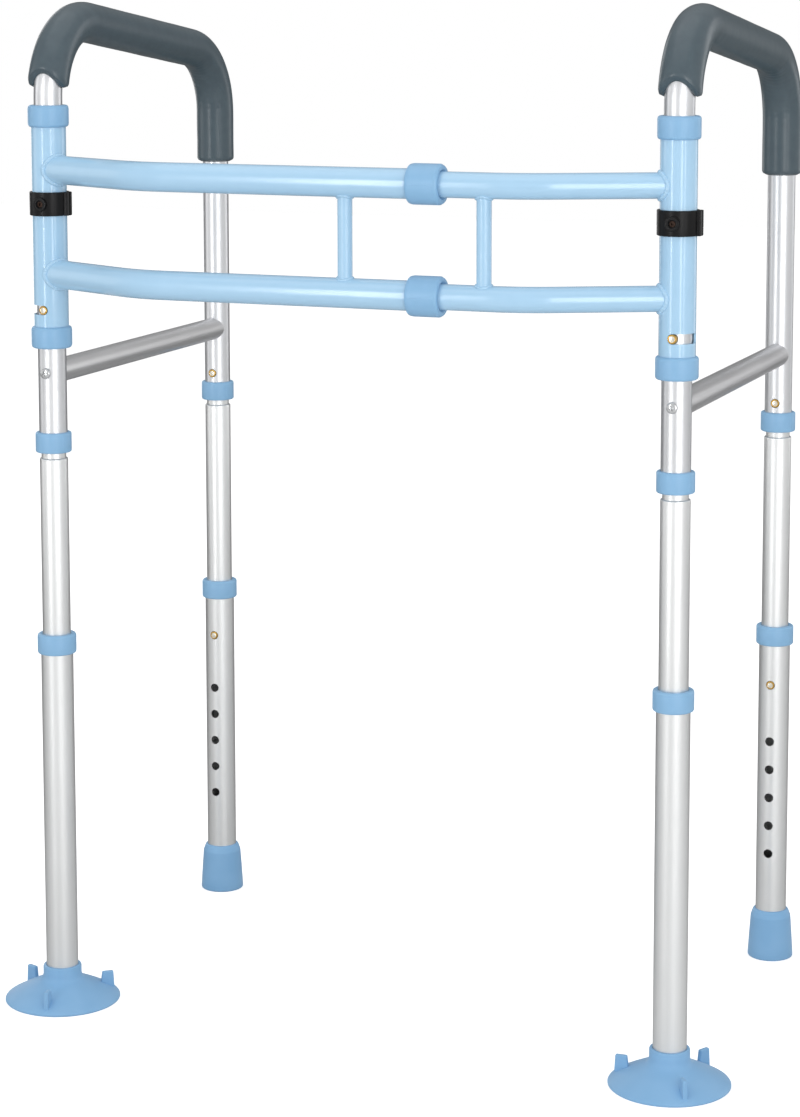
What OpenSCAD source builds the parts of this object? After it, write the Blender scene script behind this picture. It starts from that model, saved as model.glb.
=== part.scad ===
// Toilet safety frame: two swivelling armrest frames on a telescoping cross frame.
// Millimetres, +Z up from the floor. +X is to the right of someone facing the cross frame,
// and the cross frame is on the -Y side. The origin is on the floor, under the middle.

/* [Frame] */
// Spacing of the left and right uprights
frame_w = 508; // [480:2:560]
// Spacing of the two uprights of one side frame
frame_d = 306; // [280:2:330]
// Height where the armrest's line meets the upright on the crossbar side
arm_h = 791; // [785:1:820]
// Fall of the armrest towards the open side
arm_fall = 39; // [20:1:45]
// Centreline radius of the armrest's bends
arm_r = 58; // [54:1:60]
// Height of the side bar
side_bar_z = 510.5; // [500:0.5:512]

/* [Tubes] */
// Outside diameter of the handle tubes and leg extensions
tube_d = 22.2; // [22:0.1:22.4]
// Wall of the handle tubes and leg extensions
tube_wall = 1.3; // [1.2:0.1:1.4]
// Outside diameter of the lower leg tubes
leg_d = 25.4; // [25.2:0.1:26]
// Outside diameter of the side bars
side_bar_d = 19; // [16:0.5:20]
// Radial play between tubes that slide or turn in each other
play = 0.1; // [0.05:0.01:0.1]

/* [Cross frame] */
// Height of the upper crossbar
upper_bar_z = 670; // [664:1:674]
// Height of the lower crossbar
lower_bar_z = 588.5; // [586:0.5:592]
// How far the crossbars stand out from the plane of the uprights
bow = 50; // [40:1:60]
// Distance of the crossbars' bends from the middle
knee_x = 152; // [148:1:156]
// Outside diameter of the outer crossbars
outer_bar_d = 22.2; // [22:0.1:22.6]
// Outside diameter of the inner crossbars
inner_bar_d = 19; // [18.8:0.1:19.2]
// Outside diameter of the sleeves that turn on the uprights
sleeve_d = 27; // [26.6:0.1:27.2]

/* [Grip] */
// Outside diameter of the foam grip
foam_d = 32; // [28:1:34]
// Height of the grip's lower end on the open side
foam_end_z = 658; // [640:1:680]
// How far round the bend the grip begins, in degrees
foam_start = 14; // [10:1:30]

/* [Legs] */
// Spacing of the height holes
hole_pitch = 24; // [23.5:0.1:24]
// Diameter of the snap-button holes
hole_d = 7.5; // [7.2:0.1:7.8]
// Height of the snap button in the open-side legs
tip_button_z = 235; // [232:1:238]
// How much higher the crossbar-side legs' lower tubes and buttons sit
cup_rise = 17; // [14:1:17]
// Centre height of the collars where the legs plug into the uprights
joint_z = 455; // [454:1:456]
// Diameter of the suction cups
cup_d = 92; // [84:1:96]
// Diameter of the rubber tips at the floor
tip_d = 37.5; // [35:0.5:40]

/* [Hidden] */
$fn = 64;

left = -1;
right = 1;
snug = 0.02; // gap between pieces that are fixed to each other
lap = 1; // how far a cut runs past the face it opens
tall = 1000; // longer than anything it cuts
slim_wall = 1.2; // wall of the struts
small_wall = 1.3; // wall of the necks, side bars and inner crossbars
arm_ease = 0.3; // how much thinner the handle's bends are drawn than its straight tubes
arm_nip = 1; // how far the handle's straight tubes run into its bends
bar_ease = 0.02; // the same two for the crossbars, which bend less
bar_nip = 0.3;

// places, with the model centred on its own box
ferrule_d = 30;
out_reach = frame_d / 2 + bow + ferrule_d / 2;
open_reach = frame_d / 2 + tip_d / 2;
mid_y = (out_reach - open_reach) / 2;
cup_y = mid_y - frame_d / 2;
tip_y = mid_y + frame_d / 2;
bar_y = cup_y - bow;

// armrest, in the plane of a side frame
arm_slope = atan(arm_fall / frame_d);
cup_bend_z = arm_h - arm_r * tan((90 + arm_slope) / 2);
tip_bend_z = arm_h - arm_fall - arm_r * tan((90 - arm_slope) / 2);
arm_run = norm([frame_d - 2 * arm_r, cup_bend_z - tip_bend_z]);
tube_id = tube_d - 2 * tube_wall;

// sleeves and their collars
sleeve_id = 23.6;
sleeve_low = 533;
sleeve_high = 717;
sleeve_collar_d = 31.5;
sleeve_collar_h = 17;
sleeve_lip = 3;
clamp_z = 643.5;
clamp_h = 18.5;
clamp_d = 31.2;
clamp_gap = 1.2;
ear = [5, 9]; // reach and width of the ring's ear, from 3 mm inside its outer face
ear_root = 3;
boss_d = 11;
boss_rise = 1.6;
clamp_screw_d = 5;
clamp_screw_h = 4.4;
hex_key = 2.6;
hex_depth = 1.6;
slot_z = 560.5;
slot_turn = 90;

// crossbars
bar_slope = atan(bow / (frame_w / 2 - knee_x));
bar_bend_r = 100;
bar_tangent = bar_bend_r * tan(bar_slope / 2);
bar_run = norm([frame_w / 2 - knee_x, bow]);
outer_bar_id = inner_bar_d + 2 * play;
outer_bar_end = 90;
inner_bar_end = -62;
inner_bar_id = inner_bar_d - 2 * small_wall;
ferrule_x = 80;
ferrule_h = 25;
strut_d = 11;
left_strut_x = 16;
right_strut_x = 124;
side_bar_plug = 30; // length of the solid threaded end inside a side bar
side_screw_d = 5;
side_head_d = 8.5;
side_head_rise = 2.6;
side_head_edge = 1;
width_pitch = 20;
width_button_x = -40;
width_holes = [-1 : 5]; // places of the width holes, counted from the button

// legs
leg_id = tube_d + 2 * play;
neck_d = tube_id - 2 * play;
neck_id = neck_d - 2 * small_wall;
shoulder_z = joint_z - 14;
neck_top_z = joint_z + 35;
upright_low = joint_z - 6;
joint_collar_d = 28.3;
joint_collar_h = 16;
joint_button_z = joint_z + 16;
leg_collar_d = 30.6;
leg_collar_h = 16;
leg_lip = 2;
tip_tube_low = 8;
tip_tube_top = 282;
cup_tube_low = 14;
extension_low = 195;
height_holes = [0, 2, 3, 4, 5, 6]; // places of the height holes, in pitches
cup_button_z = tip_button_z + cup_rise;
cup_tube_top = tip_tube_top + cup_rise;
shoulder_h = 1.4;
cup_hub_d = 30.6;
cup_h = 28.5;
cup_hub_r = 18; // radius where the cup's dome meets its hub
fin_t = 3.5;
tip_h = 41;

// snap buttons
button_d = hole_d - 0.6;
button_proud = 0.6;
flange_h = 1;
spring_w = 6;
spring_t = 0.7;
wide_base = 7; // inner end of a button in a wide tube, from the tube's axis
narrow_base = 5.8; // the same in a narrow tube
wide_flange = 9;
narrow_flange = 8.2;
bar_flange = 8;
wide_back = 9.2; // reach of a spring's far arm behind the tube's axis
narrow_back = 7.5;
bar_back = 7.4;

sky = [0.65, 0.80, 0.93];
mid_blue = [0.50, 0.68, 0.86];
rubber_blue = [0.49, 0.66, 0.83];
silver = [0.80, 0.81, 0.82];
brass = [0.80, 0.66, 0.35];
foam_grey = [0.24, 0.29, 0.33];
black = [0.08, 0.08, 0.09];
steel = [0.70, 0.70, 0.72];

// ---- shared shapes ----

module at_leg(side, y) {
    translate([side * frame_w / 2, y, 0]) children();
}

module tube(d, bore, low, high) {
    translate([0, 0, low]) difference() {
        cylinder(d = d, h = high - low);
        translate([0, 0, -lap]) cylinder(d = bore, h = high - low + 2 * lap);
    }
}

// turns a shape drawn along +X so that it points to -Y or +Y, or elsewhere
module facing(angle, z) {
    translate([0, 0, z]) rotate([0, 0, angle]) children();
}

// a round hole through one wall, from the axis outwards along +X
module wall_hole(d = hole_d) {
    rotate([0, 90, 0]) cylinder(d = d, h = 20);
}

// chamfered ring; the lip at its top runs on a thinner tube
module ring(d, h, bore, lip_bore, lip_h, chamfer) {
    rotate_extrude() polygon([
        [bore / 2, 0], [d / 2 - chamfer, 0], [d / 2, chamfer], [d / 2, h - chamfer],
        [d / 2 - chamfer, h], [lip_bore / 2, h], [lip_bore / 2, h - lip_h],
        [bore / 2, h - lip_h]
    ]);
}

// solid bent rod on a side frame's centreline, drawn with X along the frame and Y up
module arm_rod(d, cup_low, start_turn, tip_low) {
    if (start_turn == 0)
        translate([cup_y, cup_low, 0]) rotate([-90, 0, 0])
            cylinder(d = d, h = cup_bend_z + arm_nip - cup_low);
    translate([cup_y + arm_r, cup_bend_z, 0]) rotate([0, 0, 90 - arm_slope])
        rotate_extrude(angle = 90 + arm_slope - start_turn)
            translate([arm_r, 0]) circle(d = d - arm_ease);
    translate([cup_y + arm_r * (1 + sin(arm_slope)), cup_bend_z + arm_r * cos(arm_slope), 0])
        rotate([0, 90, -arm_slope]) translate([0, 0, -arm_nip])
            cylinder(d = d, h = arm_run + 2 * arm_nip);
    translate([tip_y - arm_r, tip_bend_z, 0])
        rotate_extrude(angle = 90 - arm_slope) translate([arm_r, 0]) circle(d = d - arm_ease);
    translate([tip_y, tip_low, 0]) rotate([-90, 0, 0])
        cylinder(d = d, h = tip_bend_z + arm_nip - tip_low);
}

// stands an arm_rod up in the plane of the left or right side frame
module side_plane(side) {
    translate([side * frame_w / 2, 0, 0]) rotate([90, 0, 90]) children();
}

// solid bent rod on a left crossbar's centreline, from the sleeve's axis to end_x
module bar_rod(d, z, end_x) {
    translate([-frame_w / 2, cup_y, z]) rotate([0, 90, -bar_slope])
        cylinder(d = d, h = bar_run - bar_tangent + bar_nip);
    translate([-knee_x + bar_tangent, bar_y + bar_bend_r, z]) rotate([0, 0, -90 - bar_slope])
        rotate_extrude(angle = bar_slope) translate([bar_bend_r, 0]) circle(d = d - bar_ease);
    translate([-knee_x + bar_tangent - bar_nip, bar_y, z]) rotate([0, 90, 0])
        cylinder(d = d, h = end_x + knee_x - bar_tangent + bar_nip);
}

module button(base, tip_r, flange) {
    rotate([0, 90, 0]) rotate_extrude() polygon([
        [0, base], [flange / 2, base], [flange / 2, base + flange_h],
        [button_d / 2, base + flange_h], [button_d / 2, tip_r - 1],
        [button_d / 2 - 0.35, tip_r - 0.35], [button_d / 2 - 1, tip_r], [0, tip_r]
    ]);
}

// V of spring strip: one arm under the button at reach, the other on the far wall
module spring(reach, back) {
    rotate([90, 0, 0]) translate([0, 0, -spring_w / 2]) linear_extrude(spring_w) polygon([
        [reach, 4], [reach, -6], [spring_t - back, -26], [-back, -26], [-back, 2],
        [spring_t - back, 2], [spring_t - back, -23], [reach - spring_t, -5.5],
        [reach - spring_t, 4]
    ]);
}

// ---- cross frame ----

module sleeve(side) {
    color(sky) at_leg(side, cup_y) difference() {
        tube(sleeve_d, sleeve_id, sleeve_low, sleeve_high);
        facing(-90, clamp_z) wall_hole(clamp_screw_d + 2 * play);
        facing(-90, slot_z) wall_hole();
        facing(-90 + side * slot_turn, slot_z) wall_hole();
        translate([0, 0, slot_z - hole_d / 2]) rotate([0, 0, side > 0 ? -90 : -90 - slot_turn])
            rotate_extrude(angle = slot_turn) translate([11, 0]) square([5, hole_d]);
    }
}

module sleeve_collars(side) {
    color(mid_blue) at_leg(side, cup_y) {
        translate([0, 0, sleeve_high + sleeve_lip + snug - sleeve_collar_h])
            ring(sleeve_collar_d, sleeve_collar_h, sleeve_d + 2 * snug,
                 tube_d + 2 * play, sleeve_lip, 1.8);
        translate([0, 0, sleeve_low - sleeve_lip - snug + sleeve_collar_h]) rotate([180, 0, 0])
            ring(sleeve_collar_d, sleeve_collar_h, sleeve_d + 2 * snug,
                 tube_d + 2 * play, sleeve_lip, 1.8);
    }
}

module outer_bar(z) {
    color(sky) difference() {
        bar_rod(outer_bar_d, z, outer_bar_end);
        bar_rod(outer_bar_id, z, outer_bar_end + lap);
        at_leg(left, cup_y) cylinder(d = sleeve_d, h = tall);
        for (place = width_holes)
            translate([width_button_x + place * width_pitch, bar_y, z]) facing(90, 0) wall_hole();
    }
}

module inner_bar(z) {
    color(sky) difference() {
        mirror([1, 0, 0]) bar_rod(inner_bar_d, z, -inner_bar_end);
        mirror([1, 0, 0]) bar_rod(inner_bar_id, z, -inner_bar_end + lap);
        at_leg(right, cup_y) cylinder(d = sleeve_d, h = tall);
        translate([width_button_x, bar_y, z]) facing(90, 0) wall_hole();
    }
}

module strut(x, bar_d) {
    color(sky) difference() {
        translate([x, bar_y, 0])
            tube(strut_d, strut_d - 2 * slim_wall, lower_bar_z, upper_bar_z);
        for (z = [lower_bar_z, upper_bar_z])
            translate([x - strut_d, bar_y, z]) rotate([0, 90, 0])
                cylinder(d = bar_d, h = 2 * strut_d);
    }
}

module bar_ferrules() {
    color(mid_blue) for (z = [lower_bar_z, upper_bar_z])
        translate([ferrule_x - ferrule_h / 2, bar_y, z]) rotate([0, 90, 0])
            ring(ferrule_d, ferrule_h, outer_bar_d + 2 * snug, outer_bar_id,
                 ferrule_x + ferrule_h / 2 - outer_bar_end - snug, 2);
}

module clamp_ring(side) {
    color(black) at_leg(side, cup_y) translate([0, 0, clamp_z]) difference() {
        union() {
            translate([0, 0, -clamp_h / 2]) cylinder(d = clamp_d, h = clamp_h);
            translate([clamp_d / 2 - ear_root, -ear[1] / 2, -clamp_h / 2])
                cube([ear[0], ear[1], clamp_h]);
            rotate([90, 0, 0]) cylinder(d = boss_d, h = clamp_d / 2 + boss_rise);
        }
        translate([0, 0, -clamp_h]) cylinder(d = sleeve_d + 2 * snug, h = 2 * clamp_h);
        translate([sleeve_d / 2 - lap, -clamp_gap / 2, -clamp_h])
            cube([2 * ear[0], clamp_gap, 2 * clamp_h]);
        facing(-90, 0) wall_hole(clamp_screw_d + 2 * snug);
    }
}

module clamp_screw(side) {
    color([0.45, 0.25, 0.18]) at_leg(side, cup_y) facing(-90, clamp_z) rotate([0, 90, 0])
        translate([0, 0, tube_d / 2 + 0.5]) difference() {
            cylinder(d = clamp_screw_d, h = clamp_screw_h);
            translate([0, 0, clamp_screw_h - hex_depth])
                cylinder(d = hex_key, h = hex_depth + lap, $fn = 6);
        }
}

module width_button_springs() {
    color(steel) for (z = [lower_bar_z, upper_bar_z])
        translate([width_button_x, bar_y, z]) rotate([0, 90, 0]) facing(90, 0)
            spring(narrow_base, bar_back);
}

module width_button(z) {
    color(brass) translate([width_button_x, bar_y, z]) facing(90, 0)
        button(narrow_base, outer_bar_d / 2 + button_proud, bar_flange);
}

// ---- side frames ----

module handle_tube(side) {
    color(silver) difference() {
        side_plane(side) arm_rod(tube_d, upright_low, 0, upright_low);
        side_plane(side) arm_rod(tube_id, upright_low - lap, 0, upright_low - lap);
        at_leg(side, cup_y) facing(-90, slot_z) wall_hole();
        at_leg(side, cup_y) facing(90, joint_button_z) wall_hole();
        at_leg(side, tip_y) facing(-90, joint_button_z) wall_hole();
        for (y = [cup_y, tip_y])
            translate([side * frame_w / 2, y - 20, side_bar_z]) rotate([-90, 0, 0])
                cylinder(d = side_screw_d + 2 * snug, h = 40);
    }
}

module foam_grip(side) {
    color(foam_grey) side_plane(side) difference() {
        arm_rod(foam_d, cup_bend_z, foam_start, foam_end_z);
        arm_rod(tube_d + 2 * snug, cup_bend_z - lap, 0, foam_end_z - lap);
    }
}

module side_bar(side) {
    color(silver) difference() {
        translate([side * frame_w / 2, cup_y, side_bar_z]) rotate([-90, 0, 0]) difference() {
            cylinder(d = side_bar_d, h = frame_d);
            translate([0, 0, side_bar_plug])
                cylinder(d = side_bar_d - 2 * small_wall, h = frame_d - 2 * side_bar_plug);
            translate([0, 0, -lap]) cylinder(d = side_screw_d + 2 * snug, h = frame_d + 2 * lap);
        }
        for (y = [cup_y, tip_y]) at_leg(side, y) cylinder(d = tube_d, h = tall);
    }
}

module side_bar_screws(side) {
    color(steel) for (end = [-1, 1])
        at_leg(side, mid_y) translate([0, end * (frame_d / 2 + tube_d / 2), side_bar_z])
            rotate([-90 * end, 0, 0]) rotate_extrude() polygon([
                [0, -34], [side_screw_d / 2, -34], [side_screw_d / 2, 0.3],
                [side_head_d / 2, 0.3], [side_head_d / 2, side_head_edge],
                for (a = [15 : 15 : 75]) [
                    side_head_d / 2 * cos(a),
                    side_head_edge + (side_head_rise - side_head_edge) * sin(a)
                ],
                [0, side_head_rise]
            ]);
}

module joint_collars(side) {
    color(mid_blue) for (y = [cup_y, tip_y])
        at_leg(side, y) translate([0, 0, joint_z + joint_collar_h / 2]) rotate([180, 0, 0])
            ring(joint_collar_d, joint_collar_h, tube_d + 2 * snug, neck_d + 2 * snug,
                 joint_collar_h / 2 - (joint_z - upright_low) - snug, 1.6);
}

module leg_extension(side, y, low, height_z, button_way) {
    color(silver) at_leg(side, y) difference() {
        union() {
            translate([0, 0, low]) cylinder(d = tube_d, h = shoulder_z - low);
            translate([0, 0, shoulder_z]) cylinder(d1 = tube_d, d2 = neck_d, h = shoulder_h);
            translate([0, 0, shoulder_z]) cylinder(d = neck_d, h = neck_top_z - shoulder_z);
        }
        translate([0, 0, low - lap]) cylinder(d = tube_id, h = shoulder_z - 3 - low + lap);
        translate([0, 0, shoulder_z - 4]) cylinder(d = neck_id, h = tall);
        facing(button_way, height_z) wall_hole();
        facing(button_way, joint_button_z) wall_hole();
    }
}

module button_springs(side) {
    color(steel) {
        at_leg(side, cup_y) facing(-90, slot_z) spring(wide_base, wide_back);
        for (leg = [[cup_y, 90, cup_rise], [tip_y, -90, 0]]) at_leg(side, leg[0]) {
            facing(leg[1], joint_button_z) spring(narrow_base, narrow_back);
            facing(leg[1], tip_button_z + leg[2]) spring(wide_base, wide_back);
        }
    }
}

module sleeve_button(side) {
    color(brass) at_leg(side, cup_y) facing(-90, slot_z)
        button(wide_base, sleeve_d / 2 + button_proud, wide_flange);
}

module joint_button(side, y, way) {
    color(brass) at_leg(side, y) facing(way, joint_button_z)
        button(narrow_base, tube_d / 2 + button_proud, narrow_flange);
}

module height_button(side, y, way, z) {
    color(brass) at_leg(side, y) facing(way, z)
        button(wide_base, leg_d / 2 + button_proud, wide_flange);
}

// ---- lower legs ----

module leg_tube(side, y, low, top, button_z, way) {
    color(silver) at_leg(side, y) difference() {
        tube(leg_d, leg_id, low, top);
        for (place = height_holes)
            facing(way, button_z - place * hole_pitch) wall_hole();
    }
}

module leg_collar(side, y, tube_top) {
    color(mid_blue) at_leg(side, y) translate([0, 0, tube_top + leg_lip + snug - leg_collar_h])
        ring(leg_collar_d, leg_collar_h, leg_d + 2 * snug, leg_id, leg_lip, 1.8);
}

// height of the cup's upper face at a radius
function dome_z(r) = 2 + 13.5 * (1 - pow((r - cup_hub_r) / (cup_d / 2 - cup_hub_r), 1.15));

module suction_cup(side, fin_turn) {
    rim = cup_d / 2;
    color(rubber_blue) at_leg(side, cup_y) difference() {
        union() {
            rotate_extrude() polygon([
                [0, 9], [8, 8.6], [24, 6.5], [36, 3.4], [rim - 4, 0], [rim, 0],
                for (r = [rim : -2 : cup_hub_r]) [r, dome_z(r)],
                [16.2, 17], [cup_hub_d / 2, 19.5], [cup_hub_d / 2, cup_h - 1.5],
                [cup_hub_d / 2 - 1.5, cup_h], [0, cup_h]
            ]);
            for (turn = [0 : 120 : 240]) rotate([90, 0, fin_turn + turn])
                translate([0, 0, -fin_t / 2]) linear_extrude(fin_t) polygon([
                    [rim - 15, 6], [rim - 4, 3], [rim - 4.6, 18], [rim - 13.4, 18],
                    [rim - 14.2, 12]
                ]);
        }
        translate([0, 0, cup_tube_low]) cylinder(d = leg_d + 2 * snug, h = cup_h);
    }
}

module rubber_tip(side) {
    color(rubber_blue) at_leg(side, tip_y) difference() {
        rotate_extrude() polygon([
            [0, 0], [tip_d / 2 - 1, 0], [tip_d / 2, 1], [tip_d / 2 - 0.3, 7],
            [tip_d / 2 - 1.1, 20], [tip_d / 2 - 2.2, tip_h - 6], [tip_d / 2 - 3, tip_h - 2.5],
            [tip_d / 2 - 4.8, tip_h], [0, tip_h]
        ]);
        translate([0, 0, tip_tube_low]) cylinder(d = leg_d + 2 * snug, h = tip_h);
    }
}

sleeve(left);  // left_sleeve
sleeve_collars(left);  // left_sleeve_collars
outer_bar(upper_bar_z);  // left_upper_bar
outer_bar(lower_bar_z);  // left_lower_bar
strut(left_strut_x, outer_bar_d);  // left_strut
bar_ferrules();
clamp_ring(left);  // left_clamp_ring
clamp_screw(left);  // left_clamp_screw
sleeve(right);  // right_sleeve
sleeve_collars(right);  // right_sleeve_collars
inner_bar(upper_bar_z);  // right_upper_bar
inner_bar(lower_bar_z);  // right_lower_bar
strut(right_strut_x, inner_bar_d);  // right_strut
clamp_ring(right);  // right_clamp_ring
clamp_screw(right);  // right_clamp_screw
width_button_springs();
width_button(upper_bar_z);  // upper_width_button
width_button(lower_bar_z);  // lower_width_button

handle_tube(left);  // left_handle_tube
foam_grip(left);  // left_foam_grip
side_bar(left);  // left_side_bar
side_bar_screws(left);  // left_side_bar_screws
joint_collars(left);  // left_joint_collars
leg_extension(left, cup_y, extension_low + cup_rise, cup_button_z, 90);  // left_cup_leg_extension
leg_extension(left, tip_y, extension_low, tip_button_z, -90);  // left_tip_leg_extension
button_springs(left);  // left_button_springs
sleeve_button(left);  // left_sleeve_button
joint_button(left, cup_y, 90);  // left_cup_joint_button
joint_button(left, tip_y, -90);  // left_tip_joint_button
height_button(left, cup_y, 90, cup_button_z);  // left_cup_height_button
height_button(left, tip_y, -90, tip_button_z);  // left_tip_height_button

handle_tube(right);  // right_handle_tube
foam_grip(right);  // right_foam_grip
side_bar(right);  // right_side_bar
side_bar_screws(right);  // right_side_bar_screws
joint_collars(right);  // right_joint_collars
leg_extension(right, cup_y, extension_low + cup_rise, cup_button_z, 90);  // right_cup_leg_extension
leg_extension(right, tip_y, extension_low, tip_button_z, -90);  // right_tip_leg_extension
button_springs(right);  // right_button_springs
sleeve_button(right);  // right_sleeve_button
joint_button(right, cup_y, 90);  // right_cup_joint_button
joint_button(right, tip_y, -90);  // right_tip_joint_button
height_button(right, cup_y, 90, cup_button_z);  // right_cup_height_button
height_button(right, tip_y, -90, tip_button_z);  // right_tip_height_button

leg_tube(left, cup_y, cup_tube_low, cup_tube_top, cup_button_z, 90);  // left_cup_leg_tube
leg_collar(left, cup_y, cup_tube_top);  // left_cup_leg_collar
suction_cup(left, 39);  // left_suction_cup
leg_tube(left, tip_y, tip_tube_low, tip_tube_top, tip_button_z, -90);  // left_tip_leg_tube
leg_collar(left, tip_y, tip_tube_top);  // left_tip_leg_collar
rubber_tip(left);  // left_rubber_tip
leg_tube(right, cup_y, cup_tube_low, cup_tube_top, cup_button_z, 90);  // right_cup_leg_tube
leg_collar(right, cup_y, cup_tube_top);  // right_cup_leg_collar
suction_cup(right, 62);  // right_suction_cup
leg_tube(right, tip_y, tip_tube_low, tip_tube_top, tip_button_z, -90);  // right_tip_leg_tube
leg_collar(right, tip_y, tip_tube_top);  // right_tip_leg_collar
rubber_tip(right);  // right_rubber_tip
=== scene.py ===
import math

import bmesh
import bpy
from mathutils import Matrix, Vector, noise


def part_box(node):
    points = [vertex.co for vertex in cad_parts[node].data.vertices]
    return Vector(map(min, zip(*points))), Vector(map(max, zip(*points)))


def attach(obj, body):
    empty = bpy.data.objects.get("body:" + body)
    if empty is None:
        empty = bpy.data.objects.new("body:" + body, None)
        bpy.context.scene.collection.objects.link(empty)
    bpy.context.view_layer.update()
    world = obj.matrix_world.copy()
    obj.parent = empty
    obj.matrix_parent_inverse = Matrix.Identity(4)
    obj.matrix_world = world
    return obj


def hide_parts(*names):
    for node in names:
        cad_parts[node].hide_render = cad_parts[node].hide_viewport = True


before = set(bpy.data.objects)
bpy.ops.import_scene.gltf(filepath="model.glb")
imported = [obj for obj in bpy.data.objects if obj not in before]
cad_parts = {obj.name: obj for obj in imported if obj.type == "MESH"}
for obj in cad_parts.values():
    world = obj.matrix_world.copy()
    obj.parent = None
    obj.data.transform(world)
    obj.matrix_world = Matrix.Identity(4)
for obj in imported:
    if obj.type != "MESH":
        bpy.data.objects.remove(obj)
bpy.context.view_layer.update()

# Toilet safety frame. Metres, +Z up. +X is to the right of someone facing the cross frame,
# which is on the -Y side.


# places, all taken from the frame

def boxMiddle(node):
    low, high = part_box(node)
    return (low + high) / 2


def boxSpan(node, axis):
    low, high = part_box(node)
    return low[axis], high[axis]


sides = {"left": -1, "right": 1}
legX = {side: boxMiddle(f"{side}_cup_leg_tube").x for side in sides}
cupY = boxMiddle("left_cup_leg_tube").y
tipY = boxMiddle("left_tip_leg_tube").y
midY = (cupY + tipY) / 2
barY = boxMiddle("bar_ferrules").y
barZ = {"upper": boxMiddle("upper_width_button").z, "lower": boxMiddle("lower_width_button").z}
endY = {"cup": cupY, "tip": tipY}
holeTurn = {"cup": 90, "tip": -90}  # which way a leg's holes face, in degrees from +X
mm = 0.001


# mesh helpers

def addObject(name, data):
    piece = bpy.data.objects.new(name, data)
    bpy.context.scene.collection.objects.link(piece)
    return piece


def meshPiece(name, bm):
    bmesh.ops.remove_doubles(bm, verts=bm.verts, dist=1e-7)
    bmesh.ops.recalc_face_normals(bm, faces=bm.faces)
    mesh = bpy.data.meshes.new(name)
    bm.to_mesh(mesh)
    bm.free()
    return addObject(name, mesh)


# joins rings of points into one skin; a ring of one point closes an end
def loft(name, rings, loop=False):
    bm = bmesh.new()
    made = [[bm.verts.new(point) for point in ring] for ring in rings]
    pairs = list(zip(made, made[1:]))
    if loop:
        pairs.append((made[-1], made[0]))
    for lower, upper in pairs:
        count = max(len(lower), len(upper))
        for i in range(count):
            j = (i + 1) % count
            corners = (lower[i % len(lower)], lower[j % len(lower)],
                       upper[j % len(upper)], upper[i % len(upper)])
            face = list(dict.fromkeys(corners))
            if len(face) > 2:
                bm.faces.new(face)
    return meshPiece(name, bm)


def circlePoints(radius, z, steps):
    if radius < 1e-7:
        return [Vector((0, 0, z))]
    turns = [2 * math.pi * i / steps for i in range(steps)]
    return [Vector((radius * math.cos(a), radius * math.sin(a), z)) for a in turns]


# a solid turned about Z from (radius, height) points; it closes on itself if it misses the axis
def turned(name, profile, steps=96):
    rings = [circlePoints(r, z, steps) for r, z in profile]
    return loft(name, rings, loop=min(len(rings[0]), len(rings[-1])) > 1)


# (radius, height, rounding) corners with the rounded ones made arcs
def rounded(corners, steps=4):
    points = []
    for i, corner in enumerate(corners):
        here = Vector(corner[:2])
        if len(corner) < 3:
            points.append(tuple(here))
            continue
        back = (Vector(corners[i - 1][:2]) - here).normalized()
        ahead = (Vector(corners[(i + 1) % len(corners)][:2]) - here).normalized()
        half = back.angle(ahead) / 2
        middle = here + (back + ahead).normalized() * corner[2] / math.sin(half)
        first = here + back * corner[2] / math.tan(half) - middle
        last = here + ahead * corner[2] / math.tan(half) - middle
        turn = math.atan2(first.x * last.y - first.y * last.x, first.dot(last))
        start = math.atan2(first.y, first.x)
        for k in range(steps + 1):
            a = start + turn * k / steps
            points.append((middle.x + corner[2] * math.cos(a), middle.y + corner[2] * math.sin(a)))
    return points


def moved(piece, matrix):
    piece.data.transform(matrix)
    return piece


def shifted(piece, x=0, y=0, z=0):
    return moved(piece, Matrix.Translation((x, y, z)))


# turned by degrees about an axis through the origin, then moved to a spot
def placed(piece, spot, angle, axis):
    turn = Matrix.Rotation(math.radians(angle), 4, axis)
    return moved(piece, Matrix.Translation(spot) @ turn)


def meshOf(piece):
    evaluated = piece.evaluated_get(bpy.context.evaluated_depsgraph_get())
    return bpy.data.meshes.new_from_object(evaluated)


def plainMesh(piece):
    mesh = meshOf(piece)
    piece.modifiers.clear()
    piece.data = mesh
    return piece


def dropped(*pieces):
    for piece in pieces:
        bpy.data.objects.remove(piece)


def cut(piece, cutters, operation="DIFFERENCE"):
    for cutter in cutters:
        tool = piece.modifiers.new("cut", "BOOLEAN")
        tool.operation = operation
        tool.solver = "EXACT"
        tool.object = cutter
    plainMesh(piece)
    dropped(*cutters)
    return piece


# cylinder from the axis outwards, at an angle from +X
def drill(diameter, z, angle, reach=0.02):
    pin = turned("drill", [(0, 0), (diameter / 2, 0), (diameter / 2, reach), (0, reach)], 48)
    turn = Matrix.Rotation(math.radians(angle), 4, "Z") @ Matrix.Rotation(math.pi / 2, 4, "Y")
    return moved(pin, Matrix.Translation((0, 0, z)) @ turn)


# points along straight runs joined by arcs
def bentPath(corners, radius, arcSteps=16):
    points = [corners[0]]
    for before, here, after in zip(corners, corners[1:], corners[2:]):
        back = (before - here).normalized()
        ahead = (after - here).normalized()
        half = back.angle(ahead) / 2
        reach = radius / math.tan(half)
        middle = here + (back + ahead).normalized() * radius / math.sin(half)
        first = here + back * reach - middle
        last = here + ahead * reach - middle
        points += [middle + first.slerp(last, k / arcSteps).normalized() * radius
                   for k in range(arcSteps + 1)]
    return points + [corners[-1]]


def pathDirections(path):
    steps = [(b - a).normalized() for a, b in zip(path, path[1:])]
    inner = [(a + b).normalized() for a, b in zip(steps, steps[1:])]
    return [steps[0]] + inner + [steps[-1]]


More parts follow.
